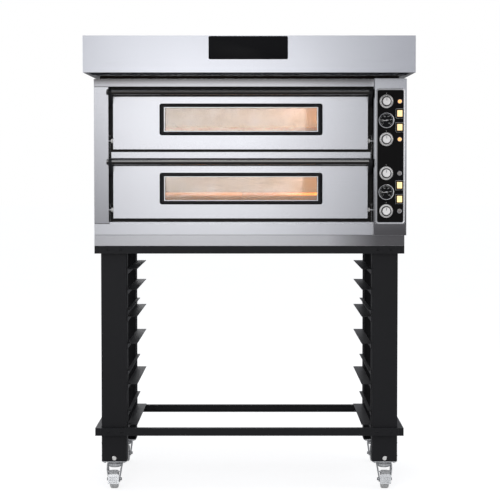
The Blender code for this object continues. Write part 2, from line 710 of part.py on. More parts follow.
# ------------------------------------------------------------------ hood
def hood_shell():
    """A folded hood that overhangs the doors, with an intake mouth below and a flanged flue collar on top."""
    low, high = (-HOOD_HALF, HOOD_FRONT, HOOD_BOTTOM), (HOOD_HALF, HOOD_REAR, HOOD_TOP)
    hollow = block([v + SHEET for v in low], [v - SHEET for v in high])
    neck = block(
        (-NECK_HALF, NECK_FRONT, CASING_TOP + GAP), (NECK_HALF, NECK_REAR, HOOD_BOTTOM + SHEET / 2)
    )
    neck_hollow = block(
        (-NECK_HALF + SHEET, NECK_FRONT + SHEET, CASING_TOP - SHEET),
        (NECK_HALF - SHEET, NECK_REAR - SHEET, HOOD_BOTTOM - GAP),
    )
    mouth = block(
        (-MOUTH_HALF, MOUTH_FRONT, HOOD_BOTTOM - SHEET), (MOUTH_HALF, MOUTH_REAR, HOOD_BOTTOM + 0.01)
    )
    height = FLUE_TOP - HOOD_TOP + SHEET / 2
    collar = [
        (FLUE_RADIUS - 0.0015, 0),
        (FLUE_RADIUS + SHEET, 0),
        (FLUE_RADIUS + SHEET, height - 0.005),
        (FLUE_RADIUS + 0.018, height - 0.005),
        (FLUE_RADIUS + 0.018, height),
        (FLUE_RADIUS - 0.0015, height),
    ]
    spigot = turned(collar, (0, FLUE_Y, HOOD_TOP - SHEET / 2), (0, 0, 1), 32)
    duct = rod((0, FLUE_Y, HOOD_TOP - 0.02), (0, FLUE_Y, FLUE_TOP + 0.01), FLUE_RADIUS, 32)
    shell = join(block(low, high), neck, spigot)
    finish(cut(shell, hollow, neck_hollow, mouth, duct), "hood_shell", STAINLESS)


def build_stand():
    for side_name in SIDES:
        for end in ENDS:
            leg(end, side_name)
            castor(end, side_name)
        tray_rack(side_name)
    for level in BAR_TOPS:
        stand_bars(level)


def build_oven():
    base_pan()
    casing_wrap()
    rear_panel()
    left_column()
    top_fascia()
    middle_strip()
    bottom_fascia()
    control_housing()
    for deck, lift in DECKS.items():
        chamber_liner(deck, lift)
        hearth(deck, lift)
        door(deck, lift)
    control_plate()
    rocker_switches()
    knobs()
    gauges()
    hood_shell()


clear_scene()
build_stand()
build_oven()
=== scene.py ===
"""Looks of the two-deck pizza oven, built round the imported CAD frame. Metres, +Z up, front faces -Y."""

import json
import math

import bmesh
import bpy
from mathutils import Matrix, Vector

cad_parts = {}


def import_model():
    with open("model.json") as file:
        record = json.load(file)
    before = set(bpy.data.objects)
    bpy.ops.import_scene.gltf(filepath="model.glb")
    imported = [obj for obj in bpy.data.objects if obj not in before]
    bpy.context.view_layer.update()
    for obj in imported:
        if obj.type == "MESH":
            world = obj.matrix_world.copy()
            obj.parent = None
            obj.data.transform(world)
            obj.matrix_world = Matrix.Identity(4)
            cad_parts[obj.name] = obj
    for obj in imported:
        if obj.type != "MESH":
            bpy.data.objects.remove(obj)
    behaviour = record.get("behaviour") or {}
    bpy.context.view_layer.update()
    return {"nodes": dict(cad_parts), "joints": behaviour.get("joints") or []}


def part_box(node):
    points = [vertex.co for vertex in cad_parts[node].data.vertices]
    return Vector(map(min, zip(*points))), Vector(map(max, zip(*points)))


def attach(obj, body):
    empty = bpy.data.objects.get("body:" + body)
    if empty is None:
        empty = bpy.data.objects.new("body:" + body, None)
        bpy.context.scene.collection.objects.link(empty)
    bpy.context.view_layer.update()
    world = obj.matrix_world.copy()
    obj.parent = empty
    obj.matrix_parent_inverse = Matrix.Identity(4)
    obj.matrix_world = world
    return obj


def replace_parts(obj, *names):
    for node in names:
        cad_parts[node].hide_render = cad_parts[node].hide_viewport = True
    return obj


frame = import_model()
JOINTS = {joint["name"]: joint for joint in frame["joints"]}
NODES = frame["nodes"]

X, Y, Z = range(3)
DECKS = ("lower", "upper")
SIDES = {"left": -1, "right": 1}
ENDS = ("front", "rear")
PROUD = 0.0003  # air between a piece and what it rests on
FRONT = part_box("left_column")[0].y  # the plane of the oven's front frame
HOUSING_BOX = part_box("control_housing")
BAR_ABOVE_HINGE = 0.2104  # from a door's hinge axis up to the middle of its handle tube
HEARTH_TO_CEILING = 0.1515  # from a chamber's floor, under the hearth, to its ceiling


def pivot(joint):
    """The point on a joint's axis, at rest."""
    return Vector(JOINTS[joint]["pos_m"])


# ---------------- materials
def noise(tree, vector, scale, detail, roughness=0.55):
    node = tree.nodes.new("ShaderNodeTexNoise")
    node.inputs["Scale"].default_value = scale
    node.inputs["Detail"].default_value = detail
    node.inputs["Roughness"].default_value = roughness
    tree.links.new(vector, node.inputs["Vector"])
    return node.outputs["Fac"]


def span(tree, value, from_low, from_high, to_low, to_high):
    """Maps a value from one range to another, and holds it at the ends."""
    node = tree.nodes.new("ShaderNodeMapRange")
    node.inputs["From Min"].default_value = from_low
    node.inputs["From Max"].default_value = from_high
    node.inputs["To Min"].default_value = to_low
    node.inputs["To Max"].default_value = to_high
    tree.links.new(value, node.inputs["Value"])
    return node.outputs["Result"]


def mixed(tree, factor, first, second):
    """A colour between two, each of which is a colour or another node's output."""
    node = tree.nodes.new("ShaderNodeMix")
    node.data_type = "RGBA"
    tree.links.new(factor, node.inputs["Factor"])
    for socket, value in ((node.inputs["A"], first), (node.inputs["B"], second)):
        if isinstance(value, tuple):
            socket.default_value = (*value, 1)
        else:
            tree.links.new(value, socket)
    return node.outputs["Result"]


def region(tree, place, limits):
    """White where every limit holds. Each is (axis, start, end), and rises from start to end."""
    split = tree.nodes.new("ShaderNodeSeparateXYZ")
    tree.links.new(place, split.inputs["Vector"])
    whole = None
    for axis, start, end in limits:
        part = span(tree, split.outputs[axis], min(start, end), max(start, end), start > end, start < end)
        if whole is None:
            whole = part
            continue
        both = tree.nodes.new("ShaderNodeMath")
        both.operation = "MULTIPLY"
        tree.links.new(whole, both.inputs[0])
        tree.links.new(part, both.inputs[1])
        whole = both.outputs["Value"]
    return whole


def edge_mask(tree, radius):
    """White where the surface turns a corner within the radius, for edges worn by cleaning and handling."""
    bevel = tree.nodes.new("ShaderNodeBevel")
    bevel.samples = 4
    bevel.inputs["Radius"].default_value = radius
    flat = tree.nodes.new("ShaderNodeNewGeometry")
    dot = tree.nodes.new("ShaderNodeVectorMath")
    dot.operation = "DOT_PRODUCT"
    tree.links.new(bevel.outputs["Normal"], dot.inputs[0])
    tree.links.new(flat.outputs["Normal"], dot.inputs[1])
    return span(tree, dot.outputs["Value"], 0.999, 0.90, 0, 1)


def surface(
    name, dark, light, roughness, metallic=0.0, grain=60, relief=0.0, mottle=1.5, mottle_share=0.4,
    worn=None, shade=(), cells=0.0, **sockets
):
    """A material with fine grain, slow mottling, relief and optional edge wear.

    dark and light are the colours it wanders between, and roughness is its range. grain is in cycles
    per metre, one number or one for each axis. worn is (radius, colour) for the edges. shade is a list
    of (limits, colour): inside those limits the surface turns to that colour. cells swaps the grain
    for flat crystals.
    """
    made = bpy.data.materials.new(name)
    made.use_nodes = True
    tree = made.node_tree
    shader = tree.nodes["Principled BSDF"]
    shader.inputs["Metallic"].default_value = metallic
    for socket, value in sockets.items():
        shader.inputs[socket.replace("_", " ")].default_value = value
    place = tree.nodes.new("ShaderNodeTexCoord").outputs["Object"]
    stretch = tree.nodes.new("ShaderNodeMapping")
    stretch.inputs["Scale"].default_value = (grain,) * 3 if isinstance(grain, int) else grain
    tree.links.new(place, stretch.inputs["Vector"])
    fine = noise(tree, stretch.outputs["Vector"], 1.0, 3.0)
    if cells:
        spangle = tree.nodes.new("ShaderNodeTexVoronoi")
        spangle.inputs["Scale"].default_value = cells
        tree.links.new(place, spangle.inputs["Vector"])
        fine = span(tree, spangle.outputs["Color"], 0, 1, 0.2, 0.8)
    slow = noise(tree, place, mottle, 2.0)
    both = tree.nodes.new("ShaderNodeMix")
    both.inputs["Factor"].default_value = mottle_share
    tree.links.new(fine, both.inputs["A"])
    tree.links.new(slow, both.inputs["B"])
    colour = mixed(tree, span(tree, both.outputs["Result"], 0.3, 0.7, 0, 1), dark, light)
    for limits, shade_colour in shade:
        colour = mixed(tree, region(tree, place, limits), colour, shade_colour)
    if worn:
        radius, worn_colour = worn
        colour = mixed(tree, edge_mask(tree, radius), colour, worn_colour)
    tree.links.new(colour, shader.inputs["Base Color"])
    tree.links.new(span(tree, both.outputs["Result"], 0.3, 0.7, *roughness), shader.inputs["Roughness"])
    if relief:
        bump = tree.nodes.new("ShaderNodeBump")
        bump.inputs["Strength"].default_value = 0.6
        bump.inputs["Distance"].default_value = relief
        tree.links.new(fine, bump.inputs["Height"])
        tree.links.new(bump.outputs["Normal"], shader.inputs["Normal"])
    return made


def glowing(name, colour, strength, edge_colour):
    """A lit lens or rocker: moulded plastic, brighter in patches, with light coming through it."""
    made = surface(name, edge_colour, colour, (0.25, 0.4), grain=300, mottle=60)
    shader = made.node_tree.nodes["Principled BSDF"]
    shader.inputs["Emission Color"].default_value = (*colour, 1)
    shader.inputs["Emission Strength"].default_value = strength
    return made


BRUSH_LONG, BRUSH_FINE = 4, 900  # how stretched the brushed grain is, in cycles per metre
STEEL_DARK, STEEL_LIGHT = (0.69, 0.70, 0.73), (0.78, 0.78, 0.81)
SHADOW = (0.020, 0.019, 0.018)


def brushed(name, axis, dark=STEEL_DARK, light=STEEL_LIGHT, roughness=(0.19, 0.27), shade=()):
    """Stainless steel brushed along one axis, with bright edges."""
    grain = [BRUSH_FINE] * 3
    grain[axis] = BRUSH_LONG
    worn = (0.0012, (0.86, 0.86, 0.88))
    return surface(name, dark, light, roughness, 1.0, grain, 0.00003, 2.2, worn=worn, shade=shade)


HOOD_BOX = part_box("hood_shell")
RECESS = [([(Y, FRONT + 0.036, FRONT + 0.046)], SHADOW)]
INNER_SIDE = (X, HOUSING_BOX[0].x + 0.012, HOUSING_BOX[0].x + 0.006)
# Painted reflection and shade on the control housing: it darkens towards its bottom, and its inner side
# face darkens towards the back, to near black in the recess behind the front frame.
HOUSING_PAINTED_SHADE = [
    ([(Z, HOUSING_BOX[0].z + 0.36, HOUSING_BOX[0].z + 0.02)], (0.17, 0.165, 0.17)),
    ([(Y, HOUSING_BOX[0].y + 0.010, HOUSING_BOX[0].y + 0.060), INNER_SIDE], (0.24, 0.23, 0.23)),
    ([(Y, FRONT + 0.030, FRONT + 0.050), INNER_SIDE], SHADOW),
]
# Painted shade: within a few centimetres of the hood's lower edge, its underside, neck and inner faces turn
# near black, for the shade inside its mouth.
HOOD_UNDERSIDE_SHADE = [
    (
        [
            (Z, HOOD_BOX[0].z + 0.040, HOOD_BOX[0].z + 0.0165),
            (Y, HOOD_BOX[0].y + 0.0008, HOOD_BOX[0].y + 0.0016),
            (X, HOOD_BOX[0].x + 0.0008, HOOD_BOX[0].x + 0.0016),
            (X, HOOD_BOX[1].x - 0.0008, HOOD_BOX[1].x - 0.0016),
        ],
        (0.016, 0.014, 0.012),
    )
]

STEEL_ALONG_X = brushed("brushed_along_x", X)
STEEL_ALONG_Y = brushed("brushed_along_y", Y)
STEEL_FRAME = brushed("brushed_front_frame", X, shade=RECESS)
HEAD_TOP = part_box("top_fascia")[1].z
# Painted shade: the top fascia is a darker copy of the steel, darker still up under the hood, for the
# hood's shadow.
STEEL_HEAD = brushed(
    "brushed_head",
    X,
    (0.50, 0.50, 0.52),
    (0.58, 0.58, 0.60),
    shade=[([(Z, HEAD_TOP - 0.026, HEAD_TOP)], (0.20, 0.19, 0.19)), *RECESS],
)
COLUMN_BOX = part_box("left_column")
# Painted shade: the column darkens towards its bottom, for the darker reflection it catches from below.
COLUMN_PAINTED_SHADE = [([(Z, COLUMN_BOX[1].z, COLUMN_BOX[0].z)], (0.42, 0.42, 0.44))]
STEEL_COLUMN = brushed("brushed_column", Z, shade=[*COLUMN_PAINTED_SHADE, *RECESS])
STEEL_HOUSING = brushed("brushed_housing", Z, shade=HOUSING_PAINTED_SHADE)
STEEL_DOOR = brushed("brushed_door", X, (0.72, 0.73, 0.76), (0.80, 0.80, 0.83))
STEEL_HOOD = brushed(
    "brushed_hood", X, (0.70, 0.71, 0.75), (0.77, 0.78, 0.82), (0.20, 0.28), HOOD_UNDERSIDE_SHADE
)
# Painted shade: the base pan darkens towards its right end, along its front.
PAN_PAINTED_SHADE = [([(X, 0.34, 0.56), (Y, FRONT + 0.30, FRONT + 0.10)], (0.20, 0.195, 0.20))]
STEEL_PAN = brushed("brushed_pan", X, (0.56, 0.56, 0.58), (0.66, 0.66, 0.68), shade=PAN_PAINTED_SHADE)


def bar_steel(deck):
    """A polished tube with painted reflections: dark from its middle down, with a grey band along its very
    bottom, and a line of painted shadow along its very top.
    """
    centre = pivot(f"door_{deck}_hinge").z + BAR_ABOVE_HINGE
    return surface(
        f"polished_tube_{deck}",
        (0.50, 0.49, 0.47),
        (0.64, 0.63, 0.60),
        (0.10, 0.18),
        metallic=1.0,
        grain=(BRUSH_LONG, 600, 600),
        relief=0.00001,
        shade=[
            ([(Z, centre + 0.0032, centre - 0.0010)], (0.030, 0.028, 0.026)),
            ([(Z, centre + 0.0100, centre + 0.0120)], (0.030, 0.028, 0.026)),
            ([(Z, centre - 0.0078, centre - 0.0098)], (0.32, 0.31, 0.30)),
        ],
    )


STEEL_TRIM = surface(
    "bright_trim", (0.70, 0.70, 0.71), (0.82, 0.82, 0.82), (0.16, 0.26), 1.0, 400, 0.00001
)


def black(name, dark, light, roughness, grain, relief, specular, worn=None):
    """A black with its gloss held down, because a white studio's reflection turns it grey."""
    return surface(
        name, dark, light, roughness, 0.0, grain, relief, worn=worn, Specular_IOR_Level=specular
    )


BLACK_COAT = black(
    "black_powder_coat",
    (0.0085, 0.0085, 0.0095),
    (0.0150, 0.0150, 0.0165),
    (0.42, 0.55),
    700,
    0.00008,
    0.28,
    (0.0010, (0.034, 0.034, 0.037)),
)
BLACK_RUBBER = black(
    "black_rubber", (0.004, 0.004, 0.0045), (0.009, 0.009, 0.010), (0.34, 0.48), 500, 0.00004, 0.22
)
BLACK_GASKET = black(
    "glossy_gasket", (0.004, 0.004, 0.005), (0.008, 0.008, 0.009), (0.14, 0.24), 400, 0.00002, 0.22
)
BLACK_ENAMEL = black(
    "black_enamel", (0.003, 0.003, 0.0035), (0.006, 0.006, 0.007), (0.30, 0.40), 250, 0.00001, 0.12
)
BLACK_OVERLAY = black(
    "black_overlay", (0.0030, 0.0026, 0.0026), (0.0060, 0.0055, 0.0055), (0.40, 0.52), 900, 0.00002, 0.10
)
CHAMBER = surface(
    "heat_tinted_steel",
    (0.33, 0.265, 0.195),
    (0.45, 0.375, 0.28),
    (0.40, 0.58),
    metallic=0.55,
    grain=(6, 120, 120),
    relief=0.00008,
    mottle=5.0,
    mottle_share=0.7,
    shade=[([(Y, FRONT + 0.0535, FRONT + 0.0512)], SHADOW)],
)
STONE = surface(
    "refractory_stone",
    (0.66, 0.27, 0.045),
    (0.92, 0.45, 0.085),
    (0.82, 0.95),
    grain=180,
    relief=0.0006,
    mottle=9.0,
    mottle_share=0.6,
    worn=(0.001, (0.86, 0.48, 0.16)),
    Specular_IOR_Level=0.0,
)
ZINC = surface(
    "zinc_plate",
    (0.74, 0.75, 0.76),
    (0.88, 0.89, 0.89),
    (0.18, 0.32),
    metallic=0.62,
    mottle=30,
    cells=320,
    relief=0.00001,
    worn=(0.0008, (0.96, 0.96, 0.96)),
)
TREAD = surface(
    "grey_tread", (0.80, 0.80, 0.79), (0.94, 0.94, 0.92), (0.45, 0.62), 0.0, 220, 0.00015, 24
)
HUB = surface(
    "hub_plastic", (0.34, 0.35, 0.36), (0.44, 0.45, 0.46), (0.35, 0.5), grain=300, relief=0.00004
)
KNOB_SKIRT = surface(
    "knob_skirt", (0.86, 0.84, 0.81), (0.97, 0.95, 0.92), (0.20, 0.32), 0.55, 350, 0.00003
)
KNOB_CAP = surface(
    "knob_cap", (0.90, 0.88, 0.86), (0.97, 0.95, 0.93), (0.25, 0.38), 0.0, 400, 0.00004, Coat_Weight=0.3
)
INK_LIGHT = surface("printed_light", (0.55, 0.55, 0.54), (0.75, 0.75, 0.73), (0.5, 0.6), grain=900)
INK_DARK = surface("printed_dark", (0.02, 0.02, 0.02), (0.04, 0.04, 0.04), (0.5, 0.6), grain=900)
NEEDLE = surface("needle_white", (0.74, 0.73, 0.70), (0.90, 0.89, 0.86), (0.35, 0.5), grain=500)
ELEMENT = surface(
    "heating_element", (0.05, 0.035, 0.03), (0.13, 0.075, 0.05), (0.45, 0.6), 0.7, 90, 0.0001
)
ROCKER = glowing("rocker_lit", (1.0, 0.72, 0.36), 0.85, (0.80, 0.55, 0.26))
LAMP_LIT = glowing("lamp_amber", (1.0, 0.50, 0.16), 1.0, (0.70, 0.32, 0.10))
LAMP_DARK = surface(
    "lamp_unlit", (0.16, 0.14, 0.13), (0.34, 0.31, 0.29), (0.10, 0.2), grain=700, Coat_Weight=0.8
)
BULB = glowing("chamber_bulb", (1.0, 0.78, 0.48), 2.2, (0.9, 0.7, 0.45))


def glass_material(name, tint, roughness):
    """Glass with a faint haze of cooking film that gathers in patches."""
    made = bpy.data.materials.new(name)
    made.use_nodes = True
    tree = made.node_tree
    shader = tree.nodes["Principled BSDF"]
    shader.inputs["Transmission Weight"].default_value = 1.0
    shader.inputs["IOR"].default_value = 1.48
    shader.inputs["Specular IOR Level"].default_value = 0.22
    place = tree.nodes.new("ShaderNodeTexCoord").outputs["Object"]
    film = noise(tree, place, 14.0, 4.0)
    tree.links.new(span(tree, film, 0.35, 0.75, *roughness), shader.inputs["Roughness"])
    colour = mixed(tree, span(tree, film, 0.3, 0.8, 0, 1), tint, (0.93, 0.89, 0.82))
    tree.links.new(colour, shader.inputs["Base Color"])
    return made


GLASS = glass_material("oven_glass", (0.98, 0.97, 0.95), (0.01, 0.06))


# ---------------- shapes
def turn_to(axis):
    return Vector((0, 0, 1)).rotation_difference(Vector(axis)).to_matrix().to_4x4()


def add_turned(bm, profile, centre, axis, segments=64):
    """Adds a profile of (radius, distance along the axis) spun round the axis."""
    place = Matrix.Translation(Vector(centre)) @ turn_to(axis)
    rings = []
    for radius, along in profile:
        if radius == 0:
            rings.append([bm.verts.new(place @ Vector((0, 0, along)))] * segments)
            continue
        angles = [math.tau * k / segments for k in range(segments)]
        points = [Vector((radius * math.cos(a), radius * math.sin(a), along)) for a in angles]
        rings.append([bm.verts.new(place @ point) for point in points])
    pairs = list(zip(rings, rings[1:]))
    if profile[0][0] > 0:
        pairs.append((rings[-1], rings[0]))
    for ring, after in pairs:
        for k in range(segments):
            n = (k + 1) % segments
            corners = [ring[k], ring[n], after[n], after[k]]
            bm.faces.new([v for i, v in enumerate(corners) if v not in corners[:i]])
    return bm


def add_prism(bm, outline, axis, start, end, bevel=0.0, segments=2):
    """Adds a flat outline pushed along an axis. Its points are in the other two axes, in X, Y, Z order."""
    first, second = [k for k in (X, Y, Z) if k != axis]
    corners = []
    for u, v in outline:
        point = Vector()
        point[axis], point[first], point[second] = start, u, v
        corners.append(bm.verts.new(point))
    face = bm.faces.new(corners)
    made = bmesh.ops.extrude_face_region(bm, geom=[face])
    shift = Vector()
    shift[axis] = end - start
    moved = [g for g in made["geom"] if isinstance(g, bmesh.types.BMVert)]
    bmesh.ops.translate(bm, vec=shift, verts=moved)
    round_off(bm, corners + moved, bevel, segments)
    return bm


def add_box(bm, low, high, bevel=0.0, segments=2, place=None):
    made = bmesh.ops.create_cube(bm, size=1)["verts"]
    bmesh.ops.scale(bm, vec=[abs(b - a) for a, b in zip(low, high)], verts=made)
    bmesh.ops.translate(bm, vec=[(a + b) / 2 for a, b in zip(low, high)], verts=made)
    if place:
        bmesh.ops.transform(bm, matrix=place, verts=made)
    round_off(bm, made, bevel, segments)
    return bm


def round_off(bm, verts, bevel, segments):
    if not bevel:
        return
    inside = set(verts)
    edges = [e for e in bm.edges if e.verts[0] in inside and e.verts[1] in inside]
    bmesh.ops.recalc_face_normals(bm, faces=list({f for e in edges for f in e.link_faces}))
    bmesh.ops.bevel(bm, geom=edges, offset=bevel, segments=segments, profile=0.5, affect="EDGES")


ROUND = [(math.cos(math.radians(a)), math.sin(math.radians(a))) for a in range(0, 91, 15)]


def add_frame(bm, centre, half_width, half_height, corner, profile, stretch=(1, 1)):
    """Adds a profile of (outwards, Y) swept round a rectangle, in the XZ plane. Its corners are round
    outside and, where the profile lies further in than the corner's radius, square inside.
    """
    rows = []
    for way_x, way_z, turn in ((1, 1, ROUND), (-1, 1, ROUND[::-1]), (-1, -1, ROUND), (1, -1, ROUND[::-1])):
        for across, up in turn:
            row = []
            for out, y in profile:
                reach_x, reach_z = corner + out * stretch[0], corner + out * stretch[1]
                if corner + out > 0:
                    reach_x, reach_z = across * reach_x, up * reach_z
                at_x = centre.x + way_x * (half_width - corner + reach_x)
                row.append(bm.verts.new((at_x, y, centre.z + way_z * (half_height - corner + reach_z))))
            rows.append(row)
    for row, after in zip(rows, rows[1:] + rows[:1]):
        for k in range(len(profile)):
            n = (k + 1) % len(profile)
            bm.faces.new((row[k], row[n], after[n], after[k]))
    return bm


def add_tube(bm, points, radius, sides=12):
    """Adds a round tube through the points, with flat ends."""
    points = [Vector(p) for p in points]
    rings = []
    side = None
    for index, point in enumerate(points):
        before, after = points[max(index - 1, 0)], points[min(index + 1, len(points) - 1)]
        along = (after - before).normalized()
        side = (side - along * side.dot(along)).normalized() if side else along.orthogonal().normalized()
        other = along.cross(side)
        angles = [math.tau * k / sides for k in range(sides)]
        rings.append(
            [bm.verts.new(point + radius * (side * math.cos(a) + other * math.sin(a))) for a in angles]
        )
    for ring, after in zip(rings, rings[1:]):
        for k in range(sides):
            bm.faces.new((ring[k], ring[(k + 1) % sides], after[(k + 1) % sides], after[k]))
    bm.faces.new(list(reversed(rings[0])))
    bm.faces.new(rings[-1])
    return bm


def arc(centre, radius, start, end, steps):
    """Points on a circle, from one angle to another, in degrees."""
    angles = [math.radians(start + (end - start) * k / steps) for k in range(steps + 1)]
    return [(centre[0] + radius * math.cos(a), centre[1] + radius * math.sin(a)) for a in angles]


def add_button_head(bm, at, normal, radius):
    """Adds a domed screw head with a round socket."""
    height = radius * 0.55
    socket, floor_of_socket = radius * 0.40, height * 0.35
    angles = [math.radians(a) for a in range(12, 70, 12)]
    dome = [(radius * math.cos(a), height * math.sin(a)) for a in angles]
    profile = [(0, 0), (radius, 0), *dome, (radius * 0.42, height * 0.97)]
    profile += [(socket, floor_of_socket), (0, floor_of_socket)]
    return add_turned(bm, profile, at, normal, 18)


def add_hex_head(bm, at, normal, radius):
    """Adds a hexagonal nut or bolt head with a chamfered crown on a round washer face."""
    height = radius * 0.65
    washer, step = radius * 1.25, height * 0.2
    add_turned(bm, [(0, 0), (washer, 0), (washer, step), (0, step)], at, normal, 24)
    start = Vector(at) + Vector(normal).normalized() * height * 0.2
    profile = [(0, 0), (radius, 0), (radius, height * 0.85), (radius * 0.86, height), (0, height)]
    return add_turned(bm, profile, start, normal, 6)


def piece(bm, name, material, body, smooth=28):
    """Makes the shape an object of its own that moves with a body."""
    bmesh.ops.remove_doubles(bm, verts=bm.verts, dist=1e-6)
    bmesh.ops.recalc_face_normals(bm, faces=bm.faces)
    mesh = bpy.data.meshes.new(name)
    bm.to_mesh(mesh)
    bm.free()
    mesh.materials.append(material)
    mesh.shade_smooth()
    mesh.set_sharp_from_angle(angle=math.radians(smooth))
    made = bpy.data.objects.new(name, mesh)
    bpy.context.scene.collection.objects.link(made)
    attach(made, body)
    return made


def turned(name, profile, centre, axis, material, body, segments=64):
    bm = add_turned(bmesh.new(), profile, centre, axis, segments)
    return piece(bm, name, material, body)


def screws(name, places, normal, radius, material, body, head=add_button_head):
    """Identical screw heads as one piece."""
    bm = bmesh.new()
    for at in places:
        head(bm, at, normal, radius)
    return piece(bm, name, material, body)


def middle(node):
    low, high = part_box(node)
    return (low + high) / 2


# ---------------- CAD nodes' own materials
def dress():
    """Gives each CAD node that stays visible its material."""
    exact = {
        "base_pan": STEEL_PAN,
        "left_column": STEEL_COLUMN,
        "casing_wrap": STEEL_ALONG_Y,
        "rear_panel": STEEL_ALONG_X,
        "top_fascia": STEEL_HEAD,
        "middle_strip": STEEL_FRAME,
        "bottom_fascia": STEEL_FRAME,
        "control_housing": STEEL_HOUSING,
        "control_plate": BLACK_OVERLAY,
        "hood_shell": STEEL_HOOD,
    }
    by_start = {
        "stand_leg": BLACK_COAT,
        "upper_bar": BLACK_COAT,
        "lower_bar": BLACK_COAT,
        "tray_rack": BLACK_COAT,
        "castor": ZINC,
        "brake_pedal": ZINC,
        "chamber_liner": CHAMBER,
        "hearth": STONE,
        "door_panel": STEEL_DOOR,
        "door_glass": GLASS,
        "door_handle": STEEL_TRIM,
        "gauge_needle": NEEDLE,
        "gauge": STEEL_TRIM,
        "knob": KNOB_CAP,
        "switch": ROCKER,
    }
    for name, node in NODES.items():
        material = exact.get(name) or next(m for start, m in by_start.items() if name.startswith(start))
        node.data.materials.clear()
        node.data.materials.append(material)


# ---------------- doors
GASKET_HALF = Vector((0.3445, 0, 0.0600))
GASKET_STRETCH = (1.12, 0.90)
GASKET_PROFILE = (  # outwards from the opening's edge, and Y from the door's face
    (0.0105, -PROUD),
    (0.0102, -0.0022),
    (0.0088, -0.0040),
    (0.0062, -0.0050),
    (-0.0030, -0.0050),
    (-0.0052, -0.0040),
    (-0.0062, -0.0022),
    (-0.0062, 0.0026),
    (-0.0016, 0.0026),
    (-0.0016, -PROUD),
)
INNER_FRAME_PROFILE = (
    (-0.0066, 0.0026),
    (-0.0066, -0.0026),
    (-0.0074, -0.0034),
    (-0.0108, -0.0034),
    (-0.0116, -0.0024),
    (-0.0116, 0.0026),
)
REAR_FRAME_PROFILE = (
    (0.012, PROUD),
    (0.012, 0.0010),
    (0.011, 0.0014),
    (-0.005, 0.0014),
    (-0.006, 0.0004),
    (-0.006, -0.004),
    (-0.0016, -0.004),
    (-0.0016, PROUD),
)


def door_details(deck):
    body = f"door_{deck}"
    low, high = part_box(f"door_panel_{deck}")
    centre = middle(f"door_glass_{deck}")
    size = (centre, GASKET_HALF.x, GASKET_HALF.z, 0)

    def frame_piece(name, profile, plane, material):
        shifted = [(out, y + plane) for out, y in profile]
        bm = add_frame(bmesh.new(), *size, shifted, GASKET_STRETCH)
        piece(bm, f"{name}_{deck}", material, body)

    frame_piece("window_gasket", GASKET_PROFILE, low.y, BLACK_GASKET)
    frame_piece("window_inner_frame", INNER_FRAME_PROFILE, low.y, STEEL_TRIM)
    frame_piece("window_rear_frame", REAR_FRAME_PROFILE, high.y, STEEL_TRIM)
    sleeve = ((-0.0010, 0.010), (-0.0010, 0.0425), (-0.0016, 0.0425), (-0.0016, 0.010))
    frame_piece("window_sleeve", sleeve, low.y, STEEL_ALONG_X)
    half = GASKET_HALF - Vector((0.003, 0, 0.004))
    pane = add_pane(centre - half, centre + half, high.y - 0.0095, high.y - 0.0055)
    piece(pane, f"door_inner_glass_{deck}", GLASS, body, 5)
    glass_low, glass_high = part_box(f"door_glass_{deck}")
    pane = add_pane(glass_low, glass_high, glass_low.y, glass_high.y)
    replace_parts(piece(pane, f"door_outer_glass_{deck}", GLASS, body, 5), f"door_glass_{deck}")
    rows = [centre.z - GASKET_HALF.z - 0.020, centre.z + GASKET_HALF.z + 0.020]
    columns = [low.x + 0.05, centre.x - 0.25, centre.x, centre.x + 0.25, high.x - 0.05]
    places = [(x, high.y + 0.0001, z) for z in rows for x in columns]
    screws(f"door_rear_screws_{deck}", places, (0, 1, 0), 0.0028, STEEL_TRIM, body)


def add_pane(low, high, front, back):
    """A flat pane with clipped corners and a ground edge."""
    clip = Vector((0.002, 0, 0.002))
    near, far = low + clip, high - clip
    outline = [(near.x, low.z), (far.x, low.z), (high.x, near.z), (high.x, far.z)]
    outline += [(far.x, high.z), (near.x, high.z), (low.x, far.z), (low.x, near.z)]
    return add_prism(bmesh.new(), outline, Y, front, back, 0.0004, 1)


TUBE_RADIUS, TUBE_EDGE, EYE_RADIUS = 0.0125, 0.002, 0.0150


def handle(deck):
    """The tube and its two black end brackets, which stand for the CAD handle."""
    body = f"door_{deck}"
    node = f"door_handle_{deck}"
    low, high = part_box(node)
    door_low, door_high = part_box(f"door_panel_{deck}")
    at = Vector((0, low.y + EYE_RADIUS, high.z - EYE_RADIUS - PROUD))
    thickness = high.x - PROUD - door_high.x
    bracket_left = door_low.x - PROUD - thickness
    length = high.x - low.x - thickness + 0.005
    inner = TUBE_RADIUS - TUBE_EDGE
    profile = [(0, 0), (inner, 0), (TUBE_RADIUS, TUBE_EDGE), (TUBE_RADIUS, length - TUBE_EDGE)]
    profile += [(inner, length), (0, length)]
    tube = add_turned(bmesh.new(), profile, (low.x, at.y, at.z), (1, 0, 0))
    bar = piece(tube, f"handle_tube_{deck}", bar_steel(deck), body)
    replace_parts(bar, node)
    outline = [
        (high.y, low.z),
        (high.y, at.z + 0.006),
        (high.y - 0.004, at.z + 0.0085),
        (FRONT - 0.014, at.z + 0.0105),
        *arc((at.y, at.z), EYE_RADIUS, 80, 240, 14),
        (FRONT - 0.002, low.z + 0.006),
        (FRONT + 0.004, low.z),
    ]
    for side, start in (("left", bracket_left), ("right", high.x - thickness)):
        end = high.x if side == "right" else start + thickness
        bm = add_prism(bmesh.new(), outline, X, start, end, 0.0012)
        piece(bm, f"handle_bracket_{side}_{deck}", BLACK_COAT, body)
        outer = start if side == "left" else end
        places = [(outer, high.y - 0.012, at.z - drop) for drop in (0.020, 0.044)]
        name, normal = f"handle_screws_{side}_{deck}", (SIDES[side], 0, 0)
        screws(name, places, normal, 0.0042, STEEL_TRIM, body)


